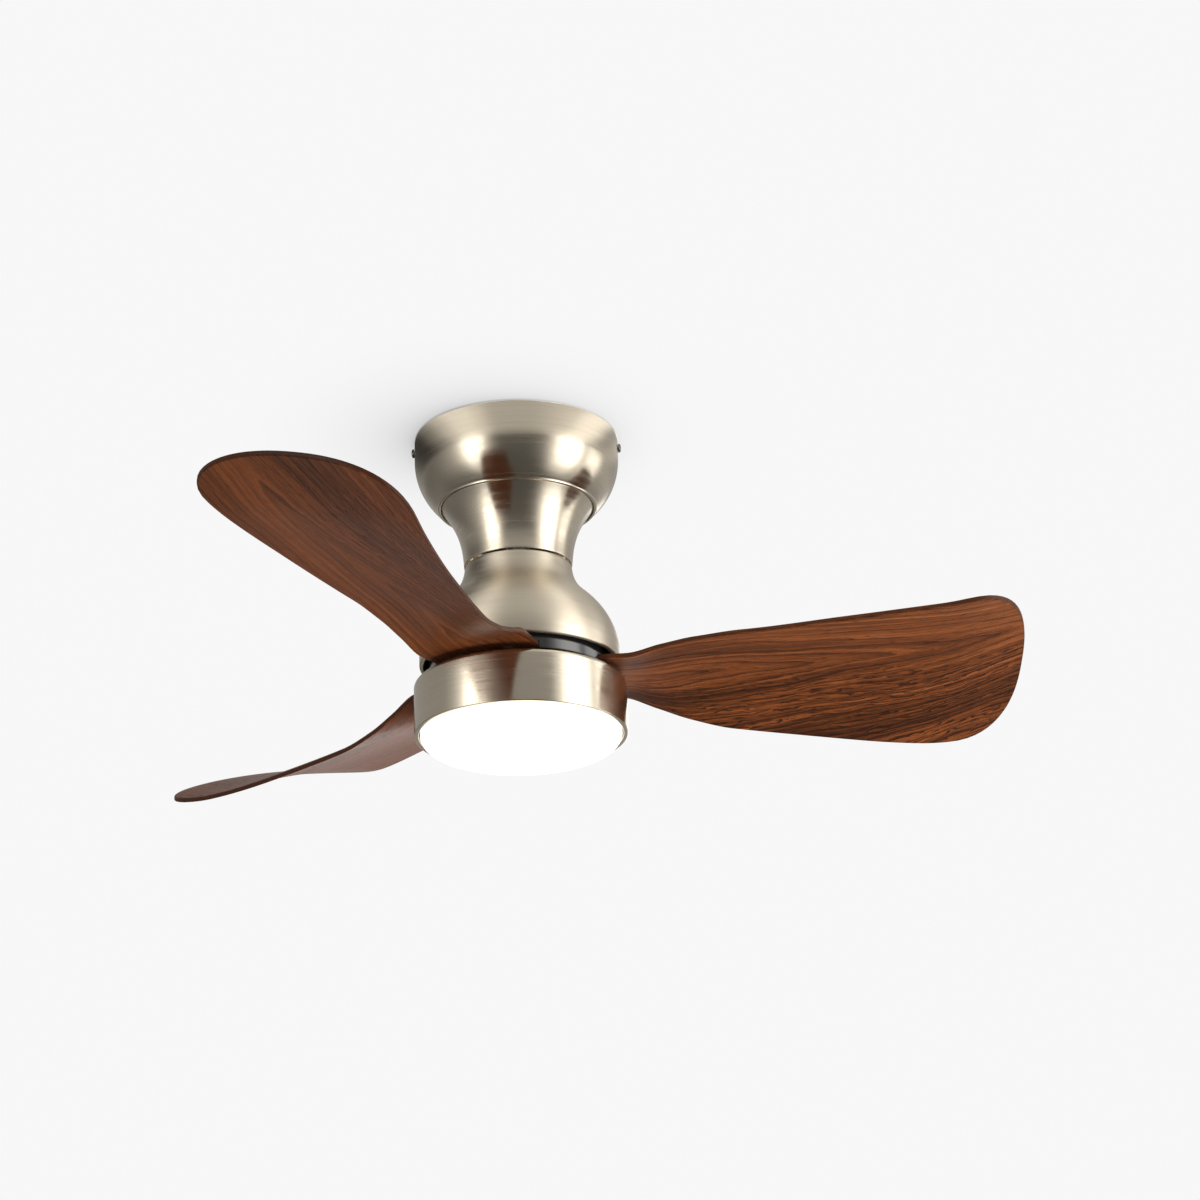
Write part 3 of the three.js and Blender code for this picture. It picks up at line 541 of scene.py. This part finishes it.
def neck_mesh():
    """The trumpet neck, with a flange that rests in the canopy."""
    bottom, top = ends("neck_cover")[0].z, -64.5
    foot, mouth, taper, flare = 47.6, 67.6, 0.065, 2.6
    flange, flange_low, flange_high = 69.6, top + 0.3, top + 1.4
    full = top - bottom
    heights = np.linspace(0, 0.985, 56) * full
    radii = foot + taper * heights + (mouth - foot - taper * full) * (heights / full) ** flare
    line = list(zip(radii, bottom + heights))
    inner = offset(line, SHEET)
    outline = [(foot - SHEET, bottom, 0.5), (foot, bottom, 0.5)] + line[2:]
    outline += [(mouth, flange_low), (flange, flange_low, 0.3), (flange, flange_high, 0.3)]
    outline += [(mouth - SHEET - 1, flange_high)] + inner[:1:-1]
    return turned("neck_trumpet", rounded(outline), 224)


def dome_mesh():
    """The bell over the motor: a narrow throat, a waist, a full belly and a hem turned in at the rim."""
    low, high = ends("motor_dome")
    top, rim, radius = high.z, low.z, high.x
    foot, flange, hem = 47.1, 37.0, 3.4
    waist = (63, -153.5)
    throat = bezier((foot, top), (48.2, -138), (54.5, -145.8), waist, 26)
    belly = bezier(waist, (73, -162.6), (radius, -180), (radius, -207), 44)
    line = throat + belly[1:]
    inner = offset(line, -SHEET)
    outline = [(flange, top - SHEET, 0.3), (flange, top, 0.3), (foot - 0.4, top, 0.7)] + line[1:]
    outline += [(radius, rim, hem), (radius - hem, rim, 0.5), (radius - hem, rim + SHEET)]
    outline += inner[-3:1:-1] + [(foot - SHEET, top - SHEET)]
    return turned("motor_dome_cover", rounded(outline), 256)


def lamp_mesh():
    """The lamp's drum: closed above, with a hem turned in round the diffuser below."""
    low, high = ends("lamp_housing")
    top, bottom, radius = high.z, low.z, high.x
    bore, hem, hem_height, shoulder = 22, 4.0, 1.5, 4.6
    outline = [
        (bore, top, 0.3),
        (radius, top, shoulder),
        (radius, bottom, 0.8),
        (radius - hem, bottom, 0.7),
        (radius - hem, bottom + hem_height, 0.4),
        (radius - SHEET, bottom + hem_height),
        (radius - SHEET, top - SHEET, shoulder - SHEET),
        (bore, top - SHEET, 0.3),
    ]
    return turned("lamp_ring", rounded(outline, 10), 256)


place("canopy_cover", canopy_mesh(), "hanging_frame", FINISH["nickel"], "canopy")
place("neck_trumpet", neck_mesh(), "hanging_frame", FINISH["nickel"], "neck_cover")
place("motor_dome_cover", dome_mesh(), "hanging_frame", SATIN, "motor_dome")
place("lamp_ring", lamp_mesh(), "hanging_frame", FINISH["nickel"], "lamp_housing")


# ---------------------------------------------------------------- diffuser
def diffuser_mesh():
    """The shallow opal bowl."""
    low, high = ends("diffuser")
    radius, wall, shoulder, flatness = high.x, 2.0, -276.0, 0.71

    def skin(r, bottom, count):
        return bezier((0, bottom), (r * flatness, bottom), (r, bottom + 2), (r, shoulder), count)

    outline = skin(radius, low.z, 56) + [(radius, high.z, 0.4), (radius - wall, high.z, 0.4)]
    outline += skin(radius - wall, low.z + wall, 40)[::-1]
    return turned("opal_diffuser", rounded(outline), 224)


def lug_mesh(angle, width, inner, outer, top, bottom):
    """A curved lug standing in from the diffuser's wall."""
    steps = np.radians(np.linspace(angle - width / 2, angle + width / 2, 13))
    points, faces = [], []
    for a in steps:
        for r, z in ((inner, bottom), (outer, bottom), (outer, top), (inner, top)):
            points.append((r * MM * math.cos(a), r * MM * math.sin(a), z * MM))
    for i in range(len(steps) - 1):
        for j in range(4):
            k = (j + 1) % 4
            faces.append((4 * i + j, 4 * i + k, 4 * i + 4 + k, 4 * i + 4 + j))
    last = 4 * (len(steps) - 1)
    faces += [(0, 3, 2, 1), (last, last + 1, last + 2, last + 3)]
    return mesh_of("lug", points, faces)


LUG_BEARINGS = (90, 210, 330)
LUG = {"width": 14, "inner": 81.4, "outer": 86.2, "top": -264.2, "bottom": -266.2}
lugs = [lug_mesh(bearing, **LUG) for bearing in LUG_BEARINGS]
diffuser = boolean(diffuser_mesh(), lugs, "UNION")
place("opal_diffuser", diffuser, "diffuser_cover", FINISH["opal"], "diffuser")


# ---------------------------------------------------------------- blades
ROOT, TIP_START, SWEEP = 38, 385, 447.2  # from the fan's axis, along the blade
TIP_RUN = 62  # how far in from the tip the rounded end's close rows start
BLADE_Z = -221.8
BLADE_THICK = 4.4
EDGE_RADIUS = 1.0
# Each list pairs places along the blade with one measure: where its leading and its trailing edge are
# across it, its pitch in degrees, how far its middle rises, and how high it arches across.
LEAD = [(ROOT, -42), (80, -45), (100, -46.6), (180, -48.8), (280, -55.6), (360, -59.8), (448, -61)]
TRAIL = [(ROOT, 50), (80, 55.5), (120, 61.6), (180, 74.4), (280, 101.2), (360, 125.7), (448, 153)]
PITCH = [(ROOT, 0), (90, 0), (120, 8.4), (150, 15.2), (190, 18.8), (280, 18.7), (448, 16.1)]
RISE = [(ROOT, 0), (90, 0), (180, -2.7), (280, 0.5), (360, 5.6), (448, 23.5)]
CAMBER = [(ROOT, 0), (100, 0), (200, 8), (448, 10)]
# Both edges round off towards a point this far across, along a curve with these powers.
TIP_ACROSS, TIP_LEAD, TIP_TRAIL = 58, (2.4, 2.2), (2.4, 2.7)
BLADE_ANGLES = (0, 120, 240)
REST_ANGLE = 1.65
# Where each blade's film was cut, its tone, and how strongly its figure is drawn. The tones are partly
# painted shade, darker on the third blade; the weaker figure of the second and third blades is painted
# sheen that pales their grain.
BLADE_FILM = [(2.3, 0.08, 1.0), (14.1, 0.06, 0.28), (27.4, -0.02, 0.5)]
UNDERSIDE_CUT = 3.7  # how far from the upper side's film the underside's was cut


def smooth(knots, x):
    """Smooth values at x through the knots, by cubic pieces whose slopes never overshoot."""
    xs, ys = np.array(knots, float).T
    secant = np.diff(ys) / np.diff(xs)
    slope = np.empty(len(xs))
    slope[0], slope[-1] = secant[0], secant[-1]
    a, b = secant[:-1], secant[1:]
    slope[1:-1] = np.where(a * b > 0, 2 * a * b / np.where(a + b == 0, 1, a + b), 0)
    x = np.clip(np.asarray(x, float), xs[0], xs[-1])
    i = np.clip(np.searchsorted(xs, x, side="right") - 1, 0, len(xs) - 2)
    h = xs[i + 1] - xs[i]
    t = (x - xs[i]) / h
    return (
        ys[i] * (1 + 2 * t) * (1 - t) ** 2
        + slope[i] * h * t * (1 - t) ** 2
        + ys[i + 1] * t * t * (3 - 2 * t)
        + slope[i + 1] * h * t * t * (t - 1)
    )


def tip_share(along, powers):
    """How much of the blade's width is left at each place along its rounded end."""
    u = np.clip((np.asarray(along, float) - TIP_START) / (SWEEP - TIP_START), 0, 1)
    return (1 - u ** powers[0]) ** (1 / powers[1])


def blade_edges(along):
    lead = TIP_ACROSS + (smooth(LEAD, along) - TIP_ACROSS) * tip_share(along, TIP_LEAD)
    trail = TIP_ACROSS + (smooth(TRAIL, along) - TIP_ACROSS) * tip_share(along, TIP_TRAIL)
    return lead, trail


def blade_height(along, across):
    lead, trail = smooth(LEAD, along), smooth(TRAIL, along)
    middle = (lead + trail) / 2
    w = (across - middle) / ((trail - lead) / 2)
    camber = smooth(CAMBER, along) * (1 - w * w)
    drop = (across - middle) * np.tan(np.radians(smooth(PITCH, along)))
    return BLADE_Z + smooth(RISE, along) - drop + camber


def edge_distance(along, across):
    """How far each point is from the blade's outline in plan."""
    stations = np.r_[np.linspace(ROOT, TIP_START, 200), SWEEP - np.geomspace(TIP_RUN, 1e-3, 260)]
    lead, trail = blade_edges(stations)
    root_across = np.linspace(lead[0], trail[0], 30)
    root = np.c_[np.full_like(root_across, ROOT), root_across]
    outline = np.r_[np.c_[stations, lead], np.c_[stations, trail][::-1], root]
    points = np.c_[along.ravel(), across.ravel()]
    nearest = np.full(len(points), 1e9)
    for start, end in zip(outline[:-1], outline[1:]):
        step = end - start
        size = step @ step
        t = np.clip(((points - start) @ step) / size, 0, 1) if size > 1e-12 else np.zeros(len(points))
        nearest = np.minimum(nearest, np.linalg.norm(points - start - t[:, None] * step, axis=1))
    return nearest.reshape(along.shape)


def put_vectors(mesh, name, vectors):
    attribute = mesh.attributes.new(name, "FLOAT_VECTOR", "POINT")
    attribute.data.foreach_set("vector", vectors.astype(np.float32).ravel())


def blade_mesh(seed, film_tone_and_shade, figure):
    """The blade as two skins and a flat edge with rounded corners, with its grain laid along it."""
    inside = EDGE_RADIUS * np.array([0, 0.05, 0.2, 0.5, 1, 1.6, 2.4])
    tip_rows = SWEEP - np.geomspace(TIP_RUN, 0.02, 44)
    stations = np.r_[ROOT + inside, np.linspace(45, 378, 78), tip_rows, SWEEP]
    lead, trail = blade_edges(stations)
    half = (trail - lead) / 2
    middle = (trail + lead) / 2
    # Distances in from an edge, closely spaced over its corner and then evenly to the middle.
    rows = []
    for width in half:
        near = np.minimum(inside, width * np.arange(len(inside)) / len(inside))
        rest = near[-1] + (width - near[-1]) * np.linspace(0, 1, 18)[1:]
        from_edge = np.r_[near, rest]
        rows.append(np.r_[from_edge - width, (width - from_edge[:-1])[::-1]])
    across = np.array(rows) + middle[:, None]
    along = np.repeat(stations[:, None], across.shape[1], axis=1)
    from_rim = edge_distance(along, across)
    fall = 1 - np.sqrt(1 - (1 - np.minimum(from_rim / EDGE_RADIUS, 1)) ** 2)
    lift = BLADE_THICK / 2 - EDGE_RADIUS * fall
    height = blade_height(along, across)
    count, wide = along.shape
    top = np.stack([along, across, height + lift], -1).reshape(-1, 3)
    bottom = np.stack([along, across, height - lift], -1).reshape(-1, 3)
    points = np.r_[top, bottom] * MM
    faces = []
    for i in range(count - 1):
        for j in range(wide - 1):
            a, b = i * wide + j, (i + 1) * wide + j
            faces.append((a, b, b + 1, a + 1))
            a, b = a + len(top), b + len(top)
            faces.append((a, a + 1, b + 1, b))
    # The flat edge joins the skins round the outline.
    outline = [i * wide for i in range(count)]
    outline += [(count - 1) * wide + j for j in range(1, wide)]
    outline += [i * wide + wide - 1 for i in range(count - 2, -1, -1)]
    outline += list(range(wide - 2, 0, -1))
    for a, b in zip(outline, outline[1:] + outline[:1]):
        faces.append((a, b, b + len(top), a + len(top)))
    mesh = bpy.data.meshes.new("blade")
    mesh.from_pydata([tuple(p) for p in points], [], faces)
    cut = seed + np.r_[np.zeros(len(top)), np.full(len(bottom), UNDERSIDE_CUT)]
    put_vectors(mesh, "grain", np.c_[points[:, :2], cut])
    rim = np.tile(from_rim.ravel() * MM, 2)
    put_vectors(mesh, "film", np.c_[np.full(len(points), film_tone_and_shade), np.full(len(points), figure), rim])
    bm = bmesh.new()
    bm.from_mesh(mesh)
    bmesh.ops.remove_doubles(bm, verts=bm.verts, dist=2e-6)
    bmesh.ops.dissolve_degenerate(bm, edges=bm.edges, dist=1e-6)
    bmesh.ops.recalc_face_normals(bm, faces=bm.faces)
    for face in bm.faces:
        face.smooth = True
    bm.to_mesh(mesh)
    bm.free()
    return mesh


for number, (angle, film) in enumerate(zip(BLADE_ANGLES, BLADE_FILM), start=1):
    blade = blade_mesh(*film)
    blade.transform(Matrix.Rotation(math.radians(angle + REST_ANGLE), 4, "Z"))
    place(f"walnut_blade_{number}", blade, "rotor", FINISH["walnut"], f"blade_{number}")


# ---------------------------------------------------------------- blade hub
def hub_mesh():
    """The hub's disc with a seat sunk into it for each blade root."""
    low, high = ends("blade_hub")
    radius, bore, seat, seat_depth, clearance = 80.0, 12.0, -219.3, 20, 0.5
    outline = [(bore, high.z, 0.4), (radius, high.z, 1.2), (radius, low.z, 1.6), (bore, low.z, 0.4)]
    disc = turned("hub_disc", rounded(outline, 8), 192)
    stations = [ROOT - clearance, 50, 65, 80, 95, 110]
    edge = [(x, float(smooth(LEAD, x)) - clearance) for x in stations]
    edge += [(x, float(smooth(TRAIL, x)) + clearance) for x in stations[::-1]]
    points = [Vector((x, y, z)) * MM for z in (seat - seat_depth, seat) for x, y in edge]
    count = len(edge)
    faces = [tuple(range(count))[::-1], tuple(range(count, 2 * count))]
    faces += [(i, (i + 1) % count, (i + 1) % count + count, i + count) for i in range(count)]
    seats = []
    for angle in BLADE_ANGLES:
        cutter = mesh_of("seat", points, faces)
        cutter.transform(Matrix.Rotation(math.radians(angle + REST_ANGLE), 4, "Z"))
        seats.append(cutter)
    return boolean(disc, seats)


place("blade_hub_disc", hub_mesh(), "rotor", FINISH["gloss_black"], "blade_hub")


# ---------------------------------------------------------------- screws
def screw_mesh(head, head_height, shank, length):
    """A pan-head screw along -Z with a cross recess, its head's underside at the origin. Head and
    shank are radii."""
    pitch, plain = 0.8, 1.2  # the thread's pitch, and how much is plain at each end
    depth = shank * 0.14
    arc = np.linspace(0.15, math.pi / 2, 12)[1:-1]
    dome = [(head * math.cos(a), head_height * (0.45 + 0.55 * math.sin(a))) for a in arc]
    dome += [(0, head_height)]
    threads = []
    turns = int((length - 2 * plain) / pitch)
    for i in range(turns):
        z = -plain - i * pitch
        threads += [(shank, z), (shank - depth, z - pitch / 2)]
    threads += [(shank, -plain - turns * pitch)]
    outline = [(0, -length), (shank * 0.6, -length, 0.2)] + threads[::-1]
    outline += [(shank, 0), (head, 0, 0.2), (head, head_height * 0.4)] + dome
    body = turned("screw", rounded(outline, 3), 48)
    arm, slit, recess = head * 0.52, head * 0.13, head_height * 0.45
    cuts = [box_mesh((-x, -y, recess), (x, y, head_height + 1)) for x, y in ((arm, slit), (slit, arm))]
    return boolean(body, cuts)


# Radius and height of the head, radius of the shank, and length under the head.
SCREWS = {
    "canopy_screw": (4.0, 2.6, 2.0, 9.0),
    "dome_screw": (3.0, 2.0, 1.6, 7.0),
    "rotor_screw": (3.2, 2.4, 1.7, 21.0),
    "hub_screw": (3.8, 2.2, 1.9, 20.4),
    "blade_screw": (4.0, 2.6, 2.2, 12.0),
    "lamp_screw": (3.6, 2.2, 1.9, 3.9),
}
screw_shapes = {kind: screw_mesh(*sizes) for kind, sizes in SCREWS.items()}


def screw_kind(node):
    if node.startswith("blade_"):
        return "blade_screw"
    return node.rsplit("_", 1)[0]


def screw_pose(node, kind):
    """Where the underside of a screw's head is, and which way it is turned: the canopy's screws point
    in at the axis, those of the dome and rotor down, and the others up."""
    low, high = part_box(node)
    centre = (low + high) / 2
    head_height = SCREWS[kind][1] * MM
    if kind == "canopy_screw":
        side = -1 if node.endswith("left") else 1
        turn = Matrix.Rotation(side * math.pi / 2, 4, "Y")
        origin = Vector((side * (max(abs(low.x), abs(high.x)) - head_height), centre.y, centre.z))
    elif kind in ("dome_screw", "rotor_screw"):
        turn = Matrix.Rotation(0.4 * len(node), 4, "Z")
        origin = Vector((centre.x, centre.y, high.z - head_height))
    else:
        turn = Matrix.Rotation(math.pi, 4, "X")
        origin = Vector((centre.x, centre.y, low.z + head_height))
    return Matrix.Translation(origin) @ turn


for node in sorted(n for n in nodes if "_screw" in n and n != "carrier_set_screw"):
    kind = screw_kind(node)
    mesh = screw_shapes[kind].copy()
    mesh.transform(screw_pose(node, kind))
    finish = BURNISHED if kind == "canopy_screw" else FINISH[slot_of[node]]
    place("fine_" + node, mesh, body_of[node], finish, node)

# ---------------------------------------------------------------- CAD nodes that stay
EDGE_BEVEL = 0.25


def finish_cad_node(node, material):
    """Gives a CAD node its material and slightly broken edges."""
    node.data.materials.clear()
    node.data.materials.append(material)
    weld = node.modifiers.new("weld", "WELD")
    weld.merge_threshold = 1e-6
    bevel = node.modifiers.new("bevel", "BEVEL")
    bevel.width = EDGE_BEVEL * MM
    bevel.segments = 2
    bevel.limit_method = "ANGLE"
    bevel.angle_limit = math.radians(40)
    node.modifiers.new("weighted", "WEIGHTED_NORMAL")


for name, node in nodes.items():
    if not node.hide_render:
        finish_cad_node(node, FINISH[slot_of[name]])

# ---------------------------------------------------------------- floor, ceiling and light, in metres
FLOOR_SIZE, FLOOR_Z = 160, -5.0
CEILING_SIZE, CEILING_Z = 30, 0.0012
WALL_GREY = (0.935, 0.935, 0.935)


def stage_plane(name, size, z, material):
    half = size / 2
    corners = [(-half, -half, z), (half, -half, z), (half, half, z), (-half, half, z)]
    mesh = bpy.data.meshes.new(name)
    mesh.from_pydata(corners, [], [(0, 1, 2, 3)])
    plane = link(name, mesh)
    mesh.materials.append(material)
    return plane


def floor_material():
    g = new_finish("pale_floor")
    g.set(Base_Color=(0.80, 0.80, 0.79), Roughness=0.7)
    return g.set(Emission_Color=(1, 1, 1), Emission_Strength=0.42)


# How bright the ceiling near the fan looks in the metal, by bearing round the fan in degrees to the
# right of the side the camera stands on.
CEILING_GLOW = [
    (-180, 0.45),
    (-135, 0.32),
    (-106, 0.08),
    (-90, 0.05),
    (-72, 0.24),
    (-54, 0.78),
    (-38, 1.12),
    (-25, 0.90),
    (-10, 0.60),
    (8, 0.60),
    (24, 0.68),
    (42, 0.92),
    (62, 1.50),
    (86, 0.45),
    (104, 0.60),
    (125, 0.40),
    (180, 0.40),
]


def bearing_curve(g, x, y, levels):
    """The level at the bearing of x, y, on a smooth line through the (bearing, level) pairs."""
    bearing = g.spread(g.math("ARCTAN2", x, g.math("MULTIPLY", y, -1.0)), -math.pi, math.pi)
    return g.curve(bearing, [((degrees + 180) / 360, level) for degrees, level in levels])


def ceiling_material():
    """A pale ceiling seen from below, with the soft shade that the canopy lays on it. From above it is
    clear, so that it doesn't hide the fan. The metal sees only a ring of it round the fan, outside the
    canopy."""
    shade_reach, shade_grey = 0.16, (0.45, 0.45, 0.45)
    canopy_edge, glow_full, glow_end = 0.092, 0.36, 0.56
    g = new_finish("ceiling")
    x, y = g.split(g.place())[:2]
    nearby = g.new("ShaderNodeAmbientOcclusion", {"Distance": shade_reach}, samples=16)
    shade = g.math("SUBTRACT", 1.0, nearby.outputs["AO"])
    shade = g.math("MULTIPLY", shade, g.spread(x, -0.13, 0.13, 1.75, 0.30), clamp=True)
    tint = g.mix(shade, WALL_GREY, shade_grey)
    pale = g.new("ShaderNodeEmission", {"Color": tint, "Strength": 1.0}).outputs[0]
    glow = {"Color": (1, 0.985, 0.955, 1), "Strength": bearing_curve(g, x, y, CEILING_GLOW)}
    glow = g.new("ShaderNodeEmission", glow).outputs[0]
    clear = g.new("ShaderNodeBsdfTransparent").outputs[0]
    distance = g.from_axis(x, y)
    outside = g.math("GREATER_THAN", distance, canopy_edge)
    near = g.math("MULTIPLY", g.spread(distance, glow_full, glow_end, 1.0, 0.0), outside)
    mirrored = g.choose(near, clear, glow)
    camera_ray = g.new("ShaderNodeLightPath").outputs["Is Camera Ray"]
    back = g.new("ShaderNodeNewGeometry").outputs["Backfacing"]
    g.put(g.output.inputs["Surface"], g.choose(back, clear, g.choose(camera_ray, mirrored, pale)))
    return g.owner


floor = stage_plane("floor", FLOOR_SIZE, FLOOR_Z, floor_material())
ceiling = stage_plane("ceiling", CEILING_SIZE, CEILING_Z, ceiling_material())
floor.visible_glossy = False
for plane in (floor, ceiling):
    plane.visible_diffuse = False
    plane.visible_shadow = False


def area_light(name, place_at, target, size, power):
    """A square lamp that lights the fan and doesn't show in the metal."""
    data = bpy.data.lights.new(name, "AREA")
    data.energy = power
    data.size = size
    light = bpy.data.objects.new(name, data)
    scene.collection.objects.link(light)
    light.location = place_at
    light.rotation_mode = "QUATERNION"
    light.rotation_quaternion = (Vector(target) - Vector(place_at)).to_track_quat("-Z", "Y")
    light.visible_glossy = False


area_light("key", (0.9, -0.9, -2.4), (0, 0, -0.2), size=1.6, power=72)

# How bright the studio is, by the same bearings: tall pale screens in a dark room.
SCREENS = [
    (-180, 0.80),
    (-165, 0.42),
    (-125, 0.18),
    (-84, 0.40),
    (-65, 1.20),
    (-50, 2.70),
    (-39, 2.20),
    (-28, 0.50),
    (-14, 0.13),
    (6, 0.12),
    (26, 0.20),
    (40, 0.75),
    (52, 2.40),
    (66, 3.30),
    (80, 2.30),
    (87, 1.10),
    (94, 2.00),
    (106, 1.90),
    (120, 0.50),
    (150, 0.50),
    (168, 2.00),
    (180, 1.00),
]


def studio_world():
    """The studio round the fan, as the metal and the wood see it. The camera sees plain grey."""
    floor_dark, behind_dark = (0.1, 0.1, 0.1), (0.25, 0.25, 0.25)
    world = bpy.data.worlds.new("studio")
    scene.world = world
    g = Graph(world)

    def background(colour, strength):
        return g.new("ShaderNodeBackground", {"Color": (*colour, 1), "Strength": strength}).outputs[0]

    x, y, z = g.split(g.new("ShaderNodeTexCoord").outputs["Generated"])[:3]
    far_ceiling = g.spread(z, -0.10, 0.14, 0.0, 0.36)
    level = g.math("MAXIMUM", bearing_curve(g, x, y, SCREENS), far_ceiling)
    level = g.mix(g.spread(z, -0.85, -0.35, 1.0, 0.0), level, floor_dark)
    low_behind = g.math("MULTIPLY", g.spread(y, 0.3, 0.8), g.spread(z, -0.35, -0.12, 1.0, 0.0))
    level = g.mix(low_behind, level, behind_dark)
    path = g.new("ShaderNodeLightPath").outputs
    diffuse_share = g.spread(z, -0.1, 0.5, 0.6, 0.36)
    level = g.math("MULTIPLY", level, g.mix(path["Is Diffuse Ray"], (1, 1, 1), diffuse_share))
    studio = background((1, 0.99, 0.97), level)
    g.put(g.output.inputs[0], g.choose(path["Is Camera Ray"], studio, background(WALL_GREY, 1.0)))


studio_world()
